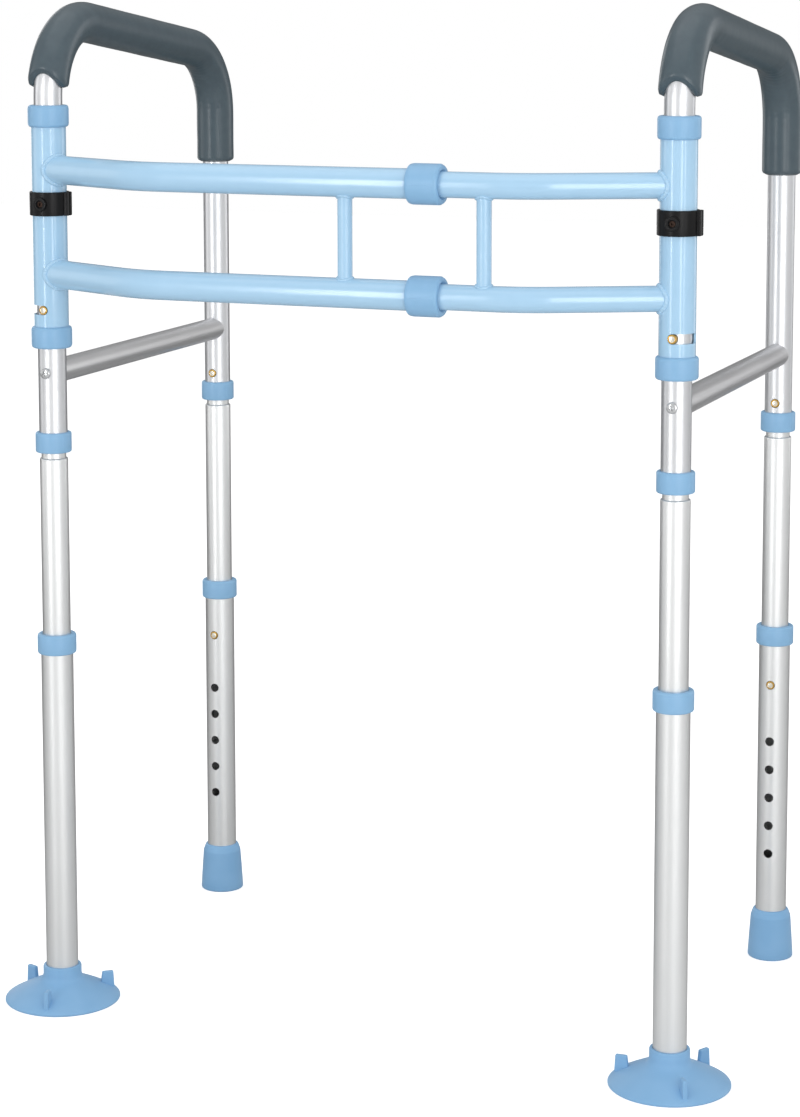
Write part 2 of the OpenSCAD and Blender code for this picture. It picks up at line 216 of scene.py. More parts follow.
# rings round a flat path; trims move each point of an end ring along the path
def pathRings(path, plane, radius, steps=72, startTrim=None, endTrim=None):
    rings = []
    ways = pathDirections(path)
    for i, (point, way) in enumerate(zip(path, ways)):
        across = plane.cross(way)
        ring = []
        for k in range(steps):
            a = 2 * math.pi * k / steps
            u = radius * math.cos(a)
            v = radius * math.sin(a)
            spot = point + across * u + plane * v
            if i == 0 and startTrim:
                spot += way * startTrim(u, v)
            if i == len(path) - 1 and endTrim:
                spot -= way * endTrim(u, v)
            ring.append(spot)
        rings.append(ring)
    return rings


# what a round tube's end is cut to where it meets another tube's side
def saddle(host):
    return lambda u, v: math.sqrt(max(host * host - u * u, 0))


def smooth(piece, angle=32):
    piece.data.shade_smooth()
    piece.data.set_sharp_from_angle(angle=math.radians(angle))


def painted(piece, *materials):
    piece.data.materials.clear()
    for material in materials:
        piece.data.materials.append(material)


# a CAD node keeps its mesh and gets a new material in each of its slots
def repainted(node, material):
    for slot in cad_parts[node].material_slots:
        slot.material = material


def finished(piece, body, slot, material, *nodes):
    if material:
        painted(piece, material)
    smooth(piece)
    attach(piece, body)
    if nodes:
        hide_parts(*nodes)
    return piece


# shader helpers

def addNode(tree, kind, **settings):
    node = tree.nodes.new(kind)
    for key, value in settings.items():
        setattr(node, key, value)
    return node


def feed(tree, source, node, socket):
    tree.links.new(source, node.inputs[socket])


# a node with its sockets linked, or set where a plain value is given
def wired(tree, kind, sockets, **settings):
    node = addNode(tree, kind, **settings)
    for socket, value in sockets.items():
        if isinstance(value, bpy.types.NodeSocket):
            feed(tree, value, node, socket)
        else:
            node.inputs[socket].default_value = value
    return node


def nodeGroup(name, kind, inputs, outputs):
    tree = bpy.data.node_groups.new(name, kind)
    for title, sort, value in inputs:
        socket = tree.interface.new_socket(name=title, in_out="INPUT", socket_type=sort)
        if value is not None:
            socket.default_value = value
    for title, sort in outputs:
        tree.interface.new_socket(name=title, in_out="OUTPUT", socket_type=sort)
    return tree, addNode(tree, "NodeGroupInput").outputs, addNode(tree, "NodeGroupOutput")


def mathNode(tree, operation, *values, **settings):
    return wired(tree, "ShaderNodeMath", dict(enumerate(values)), operation=operation,
                 **settings).outputs[0]


def vectorMath(tree, operation, first, second):
    return wired(tree, "ShaderNodeVectorMath", {0: first, 1: second}, operation=operation).outputs


def mixedNumber(tree, share, first, second):
    return wired(tree, "ShaderNodeMix", {0: share, 2: first, 3: second},
                 data_type="FLOAT").outputs[0]


def mixedColour(tree, share, first, second):
    ends = [(*end, 1) if isinstance(end, tuple) else end for end in (first, second)]
    return wired(tree, "ShaderNodeMix", {0: share, 6: ends[0], 7: ends[1]},
                 data_type="RGBA").outputs[2]


def ranged(tree, value, low, high, fromLow=0.3, fromHigh=0.7):
    return wired(tree, "ShaderNodeMapRange", {
        "Value": value, "From Min": fromLow, "From Max": fromHigh, "To Min": low,
        "To Max": high}).outputs[0]


def noiseAt(tree, place, scale, detail=2):
    return wired(tree, "ShaderNodeTexNoise", {
        "Vector": place, "Scale": scale, "Detail": detail}).outputs["Fac"]


number = "NodeSocketFloat"
vector = "NodeSocketVector"


# lengthwise lines that drawing leaves on a tube, and the cloudiness of its anodising
def drawnGrainGroup():
    tree, enter, leave = nodeGroup(
        "drawnGrain", "ShaderNodeTree",
        [("Vector", vector, None), ("Stretch", vector, (1, 1, 0.01)), ("Density", number, 900),
         ("Cloud", number, 14)],
        [("Lines", number), ("Cloud", number)])
    squeeze = vectorMath(tree, "MULTIPLY", enter["Vector"], enter["Stretch"])
    feed(tree, noiseAt(tree, squeeze[0], enter["Density"], 3), leave, "Lines")
    feed(tree, noiseAt(tree, enter["Vector"], enter["Cloud"]), leave, "Cloud")
    return tree


# fine skin of moulded or sprayed surfaces: pores close up, and slow waves
def skinGroup():
    tree, enter, leave = nodeGroup(
        "skin", "ShaderNodeTree",
        [("Vector", vector, None), ("Grain Scale", number, 2500), ("Wave Scale", number, 60),
         ("Wave Share", number, 0.5)],
        [("Height", number), ("Waves", number)])
    grain = noiseAt(tree, enter["Vector"], enter["Grain Scale"])
    waves = noiseAt(tree, enter["Vector"], enter["Wave Scale"], 1)
    feed(tree, mixedNumber(tree, enter["Wave Share"], grain, waves), leave, "Height")
    feed(tree, waves, leave, "Waves")
    return tree


# pale edges, part rubbed wear and part painted highlight on the chamfers, broken up by noise
def rubbedAndHighlitEdgesGroup():
    tree, enter, leave = nodeGroup(
        "rubbedAndHighlitEdges", "ShaderNodeTree",
        [("Vector", vector, None), ("Reach", number, 0.0005), ("Break Up", number, 400),
         ("Amount", number, 0.5)],
        [("Mask", number)])
    bevel = wired(tree, "ShaderNodeBevel", {"Radius": enter["Reach"]}, samples=4)
    shape = addNode(tree, "ShaderNodeNewGeometry")
    turn = vectorMath(tree, "DOT_PRODUCT", bevel.outputs[0], shape.outputs["Normal"])
    wornAndLitEdgeMask = ranged(tree, turn["Value"], 0, 1, 0.97, 0.8)
    broken = mathNode(tree, "MULTIPLY", wornAndLitEdgeMask, noiseAt(tree, enter["Vector"], enter["Break Up"]))
    feed(tree, mathNode(tree, "MULTIPLY", broken, enter["Amount"], use_clamp=True), leave, "Mask")
    return tree


groups = {"drawnGrain": drawnGrainGroup(), "skin": skinGroup(), "rubbedAndHighlitEdges": rubbedAndHighlitEdgesGroup()}


def newMaterial(name, **constants):
    material = bpy.data.materials.new(name)
    material.use_nodes = True
    tree = material.node_tree
    shader = tree.nodes["Principled BSDF"]
    for key, value in constants.items():
        shader.inputs[key.replace("_", " ")].default_value = value
    place = addNode(tree, "ShaderNodeTexCoord")
    return material, tree, shader, place.outputs["Object"]


def useGroup(tree, name, place, **values):
    sockets = {key.replace("_", " "): value for key, value in values.items()}
    return wired(tree, "ShaderNodeGroup", {"Vector": place, **sockets}, node_tree=groups[name])


def bumped(tree, shader, height, depth):
    bump = wired(tree, "ShaderNodeBump", {"Height": height, "Distance": depth, "Strength": 1})
    feed(tree, bump.outputs[0], shader, "Normal")


def skinMaterial(name, colour, deep, worn, roughness, grain, waves, share, depth, wear,
                 **constants):
    material, tree, shader, place = newMaterial(name, **constants)
    skin = useGroup(tree, "skin", place, Grain_Scale=grain, Wave_Scale=waves, Wave_Share=share)
    edgeRubAndHighlight = useGroup(tree, "rubbedAndHighlitEdges", place, Amount=wear)
    tone = mixedColour(tree, ranged(tree, skin.outputs["Waves"], 0, 1), colour, deep)
    # paler colour along edges: part rubbed wear, part painted highlight on the chamfers
    tone = mixedColour(tree, edgeRubAndHighlight.outputs["Mask"], tone, worn)
    feed(tree, tone, shader, "Base Color")
    feed(tree, ranged(tree, skin.outputs["Height"], *roughness), shader, "Roughness")
    bumped(tree, shader, skin.outputs["Height"], depth)
    return material


def drawnMaterial(name, colour, deep, roughness, stretch, depth, **constants):
    material, tree, shader, place = newMaterial(name, Metallic=1, **constants)
    grain = useGroup(tree, "drawnGrain", place, Stretch=stretch)
    tone = mixedColour(tree, ranged(tree, grain.outputs["Cloud"], 0, 1), colour, deep)
    lined = mixedColour(tree, ranged(tree, grain.outputs["Lines"], 0, 0.5), tone, deep)
    feed(tree, lined, shader, "Base Color")
    feed(tree, ranged(tree, grain.outputs["Lines"], *roughness), shader, "Roughness")
    bumped(tree, shader, grain.outputs["Lines"], depth)
    return material


powderCoat = skinMaterial(
    "powderCoat", (0.39, 0.615, 0.815), (0.38, 0.605, 0.805), (0.50, 0.71, 0.88), (0.16, 0.2),
    grain=420, waves=90, share=0.5, depth=0.000004, wear=0.3,
    Specular_IOR_Level=0.75)
bluePlastic = skinMaterial(
    "bluePlastic", (0.25, 0.465, 0.70), (0.235, 0.45, 0.68), (0.40, 0.61, 0.84), (0.34, 0.46),
    grain=3200, waves=90, share=0.2, depth=0.00001, wear=0.5)
blueRubber = skinMaterial(
    "blueRubber", (0.225, 0.44, 0.69), (0.20, 0.41, 0.66), (0.36, 0.57, 0.80), (0.42, 0.58),
    grain=2600, waves=45, share=0.25, depth=0.00002, wear=0.35, Sheen_Weight=0.15,
    Sheen_Roughness=0.4)
gripFoam = skinMaterial(
    "gripFoam", (0.066, 0.096, 0.114), (0.059, 0.086, 0.104), (0.10, 0.13, 0.15), (0.27, 0.33),
    grain=1900, waves=120, share=0.35, depth=0.00002, wear=0.15,
    Specular_IOR_Level=0.5)
blackPlastic = skinMaterial(
    "blackPlastic", (0.004, 0.004, 0.0045), (0.003, 0.003, 0.0035), (0.03, 0.03, 0.035),
    (0.28, 0.4), grain=2800, waves=90, share=0.2, depth=0.00001, wear=0.4, Specular_IOR_Level=0.22)
screwBronze = skinMaterial(
    "screwBronze", (0.045, 0.024, 0.017), (0.03, 0.017, 0.012), (0.2, 0.13, 0.1), (0.35, 0.5),
    grain=3000, waves=400, share=0.4, depth=0.00001, wear=0.7, Metallic=0.8)
brass = skinMaterial(
    "brass", (0.62, 0.39, 0.11), (0.52, 0.31, 0.08), (0.85, 0.62, 0.28), (0.18, 0.3),
    grain=3000, waves=500, share=0.4, depth=0.000006, wear=0.6, Metallic=1.0)
paleMetal = skinMaterial(
    "paleMetal", (0.82, 0.79, 0.70), (0.74, 0.70, 0.60), (0.95, 0.93, 0.88), (0.2, 0.32),
    grain=3000, waves=500, share=0.4, depth=0.000006, wear=0.5, Metallic=1.0)
steel = skinMaterial(
    "steel", (0.66, 0.67, 0.68), (0.58, 0.59, 0.60), (0.9, 0.9, 0.9), (0.15, 0.26),
    grain=3000, waves=500, share=0.3, depth=0.000006, wear=0.5, Metallic=1.0)
uprightAluminium = drawnMaterial(
    "uprightAluminium", (0.80, 0.81, 0.825), (0.75, 0.76, 0.78), (0.32, 0.4), (1, 1, 0.01),
    0.000002, Specular_Tint=(0.4, 0.41, 0.42, 1))
legAluminium = drawnMaterial(
    "legAluminium", (0.86, 0.87, 0.87), (0.82, 0.83, 0.83), (0.38, 0.44), (1, 1, 0.01),
    0.000002, Specular_Tint=(0.5, 0.5, 0.5, 1))
sideBarAluminium = drawnMaterial(
    "sideBarAluminium", (0.84, 0.84, 0.845), (0.79, 0.79, 0.80), (0.34, 0.42), (1, 0.01, 1),
    0.000002, Specular_Tint=(0.65, 0.65, 0.66, 1))
print("materials ready")


# Geometry Nodes helpers

def geometryTree(name, inputs):
    whole = ("Geometry", "NodeSocketGeometry")
    return nodeGroup(name, "GeometryNodeTree", [(*whole, None), *inputs], [whole])


def closeTree(tree, geometry, enter, leave):
    real = wired(tree, "GeometryNodeRealizeInstances", {"Geometry": geometry})
    coat = wired(tree, "GeometryNodeSetMaterial", {
        "Geometry": real.outputs[0], "Material": enter["Material"]})
    feed(tree, coat.outputs[0], leave, "Geometry")


def alongAxis(tree, axis, length):
    return wired(tree, "ShaderNodeCombineXYZ", {axis: length}).outputs[0]


def withTree(piece, tree, values):
    tool = piece.modifiers.new(tree.name, "NODES")
    tool.node_group = tree
    for item in tree.interface.items_tree:
        if item.in_out == "INPUT" and item.name in values:
            tool[item.identifier] = values[item.name]
    return piece


def grown(piece, tree, values):
    return plainMesh(withTree(piece, tree, values))


# a tube with a row of holes through one wall
def drilledTubeTree():
    tree, enter, leave = geometryTree("drilledTube", [
        ("Diameter", number, 0.0254), ("Bore", number, 0.0224), ("Length", number, 0.27),
        ("Hole Diameter", number, 0.0075), ("First Hole", number, 0.2), ("Pitch", number, 0.024),
        ("Holes", "NodeSocketInt", 7), ("Left Out", "NodeSocketInt", 1),
        ("Material", "NodeSocketMaterial", None)])
    solids = [wired(tree, "GeometryNodeMeshCylinder", {
        "Vertices": 128, "Radius": mathNode(tree, "MULTIPLY", enter[diameter], 0.5),
        "Depth": mathNode(tree, "ADD", enter["Length"], extra)}).outputs["Mesh"]
        for diameter, extra in (("Diameter", 0), ("Bore", 0.002))]
    bottom = alongAxis(tree, "Z", mathNode(tree, "MULTIPLY", enter["Length"], -0.5))
    start = vectorMath(tree, "ADD", bottom, alongAxis(tree, "Z", enter["First Hole"]))
    row = wired(tree, "GeometryNodeMeshLine", {
        "Count": enter["Holes"], "Start Location": start[0],
        "Offset": alongAxis(tree, "Z", mathNode(tree, "MULTIPLY", enter["Pitch"], -1))})
    pin = wired(tree, "GeometryNodeMeshCylinder", {
        "Vertices": 48, "Radius": mathNode(tree, "MULTIPLY", enter["Hole Diameter"], 0.5),
        "Depth": enter["Diameter"]})
    lay = wired(tree, "GeometryNodeTransform", {
        "Geometry": pin.outputs["Mesh"], "Rotation": (0, math.pi / 2, 0),
        "Translation": alongAxis(tree, "X", mathNode(tree, "MULTIPLY", enter["Diameter"], 0.5))})
    index = addNode(tree, "GeometryNodeInputIndex")
    kept = wired(tree, "FunctionNodeCompare", {2: index.outputs[0], 3: enter["Left Out"]},
                 data_type="INT", operation="NOT_EQUAL")
    pins = wired(tree, "GeometryNodeInstanceOnPoints", {
        "Points": row.outputs["Mesh"], "Selection": kept.outputs[0],
        "Instance": lay.outputs[0]})
    solidPins = wired(tree, "GeometryNodeRealizeInstances", {"Geometry": pins.outputs[0]})
    bored = wired(tree, "GeometryNodeMeshBoolean", {"Mesh 1": solids[0], "Mesh 2": solids[1]},
                  operation="DIFFERENCE", solver="EXACT")
    feed(tree, solidPins.outputs[0], bored, "Mesh 2")
    closeTree(tree, bored.outputs["Mesh"], enter, leave)
    return tree


# a weld's rippled bead along a curve
def weldBeadTree():
    tree, enter, leave = geometryTree("weldBead", [
        ("Radius", number, 0.002), ("Ripple Pitch", number, 0.0022),
        ("Ripple Depth", number, 0.05), ("Material", "NodeSocketMaterial", None)])
    fine = wired(tree, "GeometryNodeResampleCurve", {"Curve": enter["Geometry"], "Count": 240})
    run = addNode(tree, "GeometryNodeSplineParameter")
    turns = mathNode(tree, "DIVIDE", run.outputs["Length"], enter["Ripple Pitch"])
    wave = mathNode(tree, "SINE", mathNode(tree, "MULTIPLY", turns, 2 * math.pi))
    swell = mathNode(tree, "ADD", mathNode(tree, "MULTIPLY", wave, enter["Ripple Depth"]), 1)
    section = wired(tree, "GeometryNodeCurvePrimitiveCircle", {"Resolution": 16, "Radius": 1})
    bead = wired(tree, "GeometryNodeCurveToMesh", {
        "Curve": fine.outputs[0], "Profile Curve": section.outputs[0],
        "Scale": mathNode(tree, "MULTIPLY", swell, enter["Radius"])})
    closeTree(tree, bead.outputs[0], enter, leave)
    return tree


# copies of an object, each a step and a turn on from the last
def copiesTree():
    tree, enter, leave = geometryTree("copies", [
        ("Object", "NodeSocketObject", None), ("Count", "NodeSocketInt", 3),
        ("Step", vector, (0, 0, 0)), ("Turn", vector, (0, 0, 0)),
        ("Material", "NodeSocketMaterial", None)])
    row = wired(tree, "GeometryNodeMeshLine", {"Count": enter["Count"], "Offset": enter["Step"]})
    index = addNode(tree, "GeometryNodeInputIndex")
    turn = wired(tree, "ShaderNodeVectorMath", {0: enter["Turn"], "Scale": index.outputs[0]},
                 operation="SCALE")
    source = wired(tree, "GeometryNodeObjectInfo", {"Object": enter["Object"]})
    placedCopies = wired(tree, "GeometryNodeInstanceOnPoints", {
        "Points": row.outputs["Mesh"], "Instance": source.outputs["Geometry"],
        "Rotation": turn.outputs[0]})
    closeTree(tree, placedCopies.outputs[0], enter, leave)
    return tree


drilledTube = drilledTubeTree()
weldBead = weldBeadTree()
copies = copiesTree()


def emptyPiece(name):
    return meshPiece(name, bmesh.new())


def copied(name, source, material, count, step=(0, 0, 0), turn=(0, 0, 0)):
    piece = grown(emptyPiece(name), copies, {
        "Object": source, "Count": count, "Step": step, "Turn": turn, "Material": material})
    dropped(source)
    return piece


def joined(name, parts):
    bm = bmesh.new()
    for part in parts:
        bm.from_mesh(part.data)
    dropped(*parts)
    return meshPiece(name, bm)


# closed curve through points, grown into a weld bead
def weld(name, points, radius, pitch=2.2 * mm):
    curve = bpy.data.curves.new(name, "CURVE")
    curve.dimensions = "3D"
    spline = curve.splines.new("POLY")
    spline.points.add(len(points) - 1)
    for target, point in zip(spline.points, points):
        target.co = (*point, 1)
    spline.use_cyclic_u = True
    path = addObject(name, curve)
    withTree(path, weldBead, {"Radius": radius, "Ripple Pitch": pitch, "Material": powderCoat})
    mesh = meshOf(path)
    dropped(path)
    return addObject(name, mesh)


# sizes that more than one piece shares
tubes = {
    "upright": 22.2 * mm, "uprightBore": 19.6 * mm,
    "sleeve": 27 * mm, "sleeveBore": 23.6 * mm,
    "leg": 25.4 * mm, "legBore": 22.4 * mm,
    "sideBar": 19 * mm,
    "outerBar": 22.2 * mm, "outerBarBore": 19.2 * mm,
    "innerBar": 19 * mm, "innerBarBore": 16.4 * mm,
    "strut": 11 * mm,
    "buttonHole": 7.5 * mm,
}
edge = 0.35 * mm
collarSizes = {
    "sleeve": 31.5 * mm, "sleeveHeight": 17 * mm, "sleeveLip": 3 * mm, "sleeveEdge": 2.2 * mm,
    "joint": 28.3 * mm, "jointLip": 1.98 * mm, "jointLipBore": 19.44 * mm, "jointEdge": 1.5 * mm,
    "leg": 30.6 * mm, "legLip": 2 * mm, "legEdge": 1.7 * mm,
    "ferrule": 30 * mm,
    "fit": 0.04 * mm,        # how much wider a collar's bore is than its tube
}


def tubeProfile(outer, bore, low, high, corner=edge):
    return rounded([(bore / 2, low, corner), (outer / 2, low, corner),
                    (outer / 2, high, corner), (bore / 2, high, corner)])


def ringProfile(outer, low, high, bore, lipBore, lip, corner):
    return rounded([
        (bore / 2, low, 0.3 * mm), (outer / 2, low, corner), (outer / 2, high, corner),
        (lipBore / 2, high, 0.5 * mm), (lipBore / 2, high - lip), (bore / 2, high - lip)])


# two fine ridges where a collar's mould halves met
def withPartingLines(collar, outer, low, high, turn=0):
    ridges = []
    for a in (turn, turn + 180):
        ridge = turned("ridge", rounded([
            (0, low), (0.3 * mm, low, 0.1 * mm), (0.3 * mm, high, 0.1 * mm), (0, high)]), 8)
        radius = outer / 2 - 0.12 * mm
        shifted(ridge, radius * math.cos(math.radians(a)), radius * math.sin(math.radians(a)))
        ridges.append(ridge)
    return joined("collar", [collar, *ridges])


# cross frame

sleeveSizes = {
    "slotTurn": 90,          # degrees the button may travel round the sleeve
    "slotZ": boxMiddle("left_sleeve_button").z,
    "clampZ": boxMiddle("left_clamp_ring").z,
    "screwHole": 5.2 * mm,
    "weldRadius": 1.9 * mm,
}


# a slot round a tube's wall, with round ends
def slotCutter(radiusIn, radiusOut, height, z, start, turn):
    half = height / 2
    over = math.degrees(half / (radiusIn + radiusOut) * 2)
    angles = [start - over * math.cos(math.radians(a)) for a in range(0, 91, 10)]
    heights = [half * math.sin(math.radians(a)) for a in range(0, 91, 10)]
    angles += [start + turn * k / 12 for k in range(1, 12)]
    heights += [half] * 11
    angles += [start + turn + over * math.sin(math.radians(a)) for a in range(0, 91, 10)]
    heights += [half * math.cos(math.radians(a)) for a in range(0, 91, 10)]
    rings = []
    for a, h in zip(angles, heights):
        way = Vector((math.cos(math.radians(a)), math.sin(math.radians(a)), 0))
        h = max(h, 1e-5)
        down = Vector((0, 0, z - h))
        up = Vector((0, 0, z + h))
        rings.append([way * radiusIn + down, way * radiusOut + down,
                      way * radiusOut + up, way * radiusIn + up])
    ends = [[sum(ring, Vector()) / 4] for ring in (rings[0], rings[-1])]
    return loft("slot", [ends[0], *rings, ends[1]])


def makeSleeve(side, body):
    low, high = boxSpan(f"{side}_sleeve", 2)
    profile = tubeProfile(tubes["sleeve"], tubes["sleeveBore"], low, high)
    piece = turned(f"{side}Sleeve", profile, 128)
    turn = sleeveSizes["slotTurn"]
    start = -90 if side == "right" else -90 - turn
    cut(piece, [
        slotCutter(11 * mm, 16 * mm, tubes["buttonHole"], sleeveSizes["slotZ"], start, turn),
        drill(sleeveSizes["screwHole"], sleeveSizes["clampZ"], -90)])
    shifted(piece, legX[side], cupY)
    finished(piece, body, "powder_coat", powderCoat, f"{side}_sleeve")


def makeSleeveCollars(side, body):
    low, high = boxSpan(f"{side}_sleeve_collars", 2)
    outer = collarSizes["sleeve"]
    height = collarSizes["sleeveHeight"]
    inset = 2.5 * mm
    profile = ringProfile(
        outer, 0, height, tubes["sleeve"] + collarSizes["fit"], tubes["upright"] + 0.3 * mm,
        collarSizes["sleeveLip"], collarSizes["sleeveEdge"])
    top = withPartingLines(turned("top", profile), outer, inset, height - inset, 25)
    bottom = withPartingLines(turned("bottom", profile), outer, inset, height - inset, 155)
    shifted(top, legX[side], cupY, high - height)
    placed(bottom, (legX[side], cupY, low + height), 180, "X")
    piece = joined(f"{side}SleeveCollars", [top, bottom])
    finished(piece, body, "blue_plastic", bluePlastic, f"{side}_sleeve_collars")


barSizes = {
    "knee": 152 * mm,        # distance of the bend from the middle
    "bend": 100 * mm,        # radius of the bend's centreline
    "holes": [-60 + 20 * k for k in range(7)],  # width holes, in mm from the middle
}


def barPath(side, z, end):
    sign = sides[side]
    return bentPath([
        Vector((legX[side], cupY, z)), Vector((sign * barSizes["knee"], barY, z)),
        Vector((end, barY, z))], barSizes["bend"], 20)


def makeBar(side, level, body):
    z = barZ[level]
    kind = "outerBar" if side == "left" else "innerBar"
    low, high = boxSpan(f"{side}_{level}_bar", 0)
    path = barPath(side, z, high if side == "left" else low)
    trim = saddle(tubes["sleeve"] / 2 - 0.3 * mm)
    up = Vector((0, 0, 1))
    outer = pathRings(path, up, tubes[kind] / 2, 96, startTrim=trim)
    inner = pathRings(path, up, tubes[kind + "Bore"] / 2, 96, startTrim=trim)
    name = f"{side}{level.capitalize()}Bar"
    piece = loft(name, outer + inner[::-1], loop=True)
    spots = [x * mm for x in barSizes["holes"]] if side == "left" else [
        boxMiddle("upper_width_button").x]
    cut(piece, [shifted(drill(tubes["buttonHole"], z, 90), x, barY) for x in spots])
    finished(piece, body, "powder_coat", powderCoat, f"{side}_{level}_bar")


# the line where a bar meets its sleeve, or a strut its bar
def saddleLine(start, way, across, up, radius, host, steps=90):
    points = []
    for k in range(steps):
        a = 2 * math.pi * k / steps
        u = radius * math.cos(a)
        v = radius * math.sin(a)
        points.append(start + way * math.sqrt(host * host - u * u) + across * u + up * v)
    return points


def makeWelds(side, body):
    up = Vector((0, 0, 1))
    kind = "outerBar" if side == "left" else "innerBar"
    beads = []
    for z in barZ.values():
        path = barPath(side, z, 0)
        way = (path[1] - path[0]).normalized()
        line = saddleLine(path[0], way, up.cross(way), up, tubes[kind] / 2, tubes["sleeve"] / 2)
        beads.append(weld("bead", line, sleeveSizes["weldRadius"]))
    strutX = boxMiddle(f"{side}_strut").x
    for z, way in ((barZ["lower"], up), (barZ["upper"], -up)):
        start = Vector((strutX, barY, z))
        line = saddleLine(start, way, Vector((0, 1, 0)), Vector((1, 0, 0)),
                          tubes["strut"] / 2, tubes[kind] / 2)
        beads.append(weld("bead", line, 1.3 * mm))
    piece = joined(f"{side}Welds", beads)
    finished(piece, body, "powder_coat", powderCoat)


# a closed rod between two tubes' sides
def saddledRod(name, start, end, plane, radius, host):
    trim = saddle(host)
    rings = pathRings([start, end], plane, radius, 72, trim, trim)
    way = (end - start).normalized()
    return loft(name, [[start + way * host], *rings, [end - way * host]])


def makeStrut(side, body):
    x = boxMiddle(f"{side}_strut").x
    host = (tubes["outerBar"] if side == "left" else tubes["innerBar"]) / 2 - 0.2 * mm
    piece = saddledRod(
        f"{side}Strut", Vector((x, barY, barZ["lower"])), Vector((x, barY, barZ["upper"])),
        Vector((1, 0, 0)), tubes["strut"] / 2, host)
    finished(piece, body, "powder_coat", powderCoat, f"{side}_strut")


def makeFerrules(body):
    low, high = boxSpan("bar_ferrules", 0)
    length = high - low
    outer = collarSizes["ferrule"]
    bore = tubes["outerBarBore"] / 2
    profile = rounded([
        (tubes["outerBar"] / 2 + 0.02 * mm, 0, 0.4 * mm), (outer / 2 - 0.6 * mm, 0, 1.2 * mm),
        (outer / 2, 3 * mm, 1.5 * mm), (outer / 2, length - 2 * mm, 1.2 * mm),
        (outer / 2 - 1.2 * mm, length, 0.7 * mm), (bore + 1.6 * mm, length, 0.5 * mm),
        (bore, length - 1.8 * mm), (bore, length - 2.45 * mm),
        (tubes["outerBar"] / 2 + 0.02 * mm, length - 2.48 * mm)])
    ring = withPartingLines(turned("ferrule", profile, 128), outer, 3 * mm, length - 3 * mm, 90)
    placed(ring, (low, barY, barZ["lower"]), 90, "Y")
    piece = copied("barFerrules", ring, bluePlastic, 2, step=(0, 0, barZ["upper"] - barZ["lower"]))
    finished(piece, body, "blue_plastic", bluePlastic, "bar_ferrules")


clampSizes = {"outer": 31.2 * mm, "height": 18.5 * mm, "boss": 11 * mm, "gap": 1.2 * mm}


def makeClamp(side, body):
    half = clampSizes["height"] / 2
    outer = clampSizes["outer"] / 2
    bore = tubes["sleeve"] / 2 + 0.02 * mm
    band = turned("band", rounded([
        (bore, -half, 0.3 * mm), (outer, -half, 0.7 * mm), (outer, half, 0.7 * mm),
        (bore, half, 0.3 * mm)]), 128)
    front = outer + 1.6 * mm
    boss = turned("boss", rounded([
        (0, bore - 0.5 * mm), (clampSizes["boss"] / 2, bore - 0.5 * mm),
        (clampSizes["boss"] / 2, front, 0.7 * mm), (3.1 * mm, front, 0.4 * mm),
        (2.7 * mm, front - 0.9 * mm), (0, front - 0.9 * mm)]), 64)
    moved(boss, Matrix.Rotation(math.pi / 2, 4, "X"))
    lug = rounded([(outer - 3 * mm, -4.5 * mm), (outer + 2 * mm, -4.5 * mm, 1 * mm),
                   (outer + 2 * mm, 4.5 * mm, 1 * mm), (outer - 3 * mm, 4.5 * mm)])
    levels = ((-half, 0.5 * mm), (-half + 0.5 * mm, 0), (half - 0.5 * mm, 0), (half, 0.5 * mm))
    middle = Vector((outer - 0.5 * mm, 0, 0))
    rings = []
    for z, inset in levels:
        share = 1 - inset / (4 * mm)
        rings.append([middle + (Vector((x, y, 0)) - middle) * share + Vector((0, 0, z))
                      for x, y in lug])
    ear = loft("ear", [[middle + Vector((0, 0, -half))], *rings, [middle + Vector((0, 0, half))]])
    cut(band, [boss, ear], "UNION")
    slit = loft("slit", [[Vector((x, y, z)) for x, y in (
        (bore - 1 * mm, -clampSizes["gap"] / 2), (outer + 9 * mm, -clampSizes["gap"] / 2),
        (outer + 9 * mm, clampSizes["gap"] / 2), (bore - 1 * mm, clampSizes["gap"] / 2))]
        for z in (-half - 1 * mm, half + 1 * mm)])
    fillEnds(slit)
    hollow = turned("hollow", [(0, -0.02), (bore, -0.02), (bore, 0.02), (0, 0.02)], 128)
    cut(band, [hollow, slit, drill(5.04 * mm, 0, -90)])
    band.name = f"{side}ClampRing"
    shifted(band, legX[side], cupY, sleeveSizes["clampZ"])
    finished(band, body, "black_plastic", blackPlastic, f"{side}_clamp_ring")


def fillEnds(piece):
    bm = bmesh.new()
    bm.from_mesh(piece.data)
    bmesh.ops.holes_fill(bm, edges=bm.edges)
    bmesh.ops.recalc_face_normals(bm, faces=bm.faces)
    bm.to_mesh(piece.data)
    bm.free()


def makeClampScrew(side, body):
    near, far = boxSpan(f"{side}_clamp_screw", 1)
    length = far - near
    screw = turned("screw", rounded([
        (0, 0), (2.5 * mm, 0, 0.3 * mm), (2.5 * mm, length, 0.5 * mm), (0, length)]), 48)
    key = turned("key", [(0, length - 1.6 * mm), (1.5 * mm, length - 1.6 * mm),
                         (1.5 * mm, length + 1 * mm), (0, length + 1 * mm)], 6)
    cut(screw, [key])
    screw.name = f"{side}ClampScrew"
    placed(screw, (legX[side], far, sleeveSizes["clampZ"]), 90, "X")
    finished(screw, body, "bronzed_screw", screwBronze, f"{side}_clamp_screw")


crossBodies = {"left": "cross_frame", "right": "right_cross_half"}
for side, body in crossBodies.items():
    makeSleeve(side, body)
    makeSleeveCollars(side, body)
    makeBar(side, "upper", body)
    makeBar(side, "lower", body)
    makeWelds(side, body)
    makeStrut(side, body)
    makeClamp(side, body)
    makeClampScrew(side, body)
makeFerrules("cross_frame")
print("cross frame ready")


# side frames

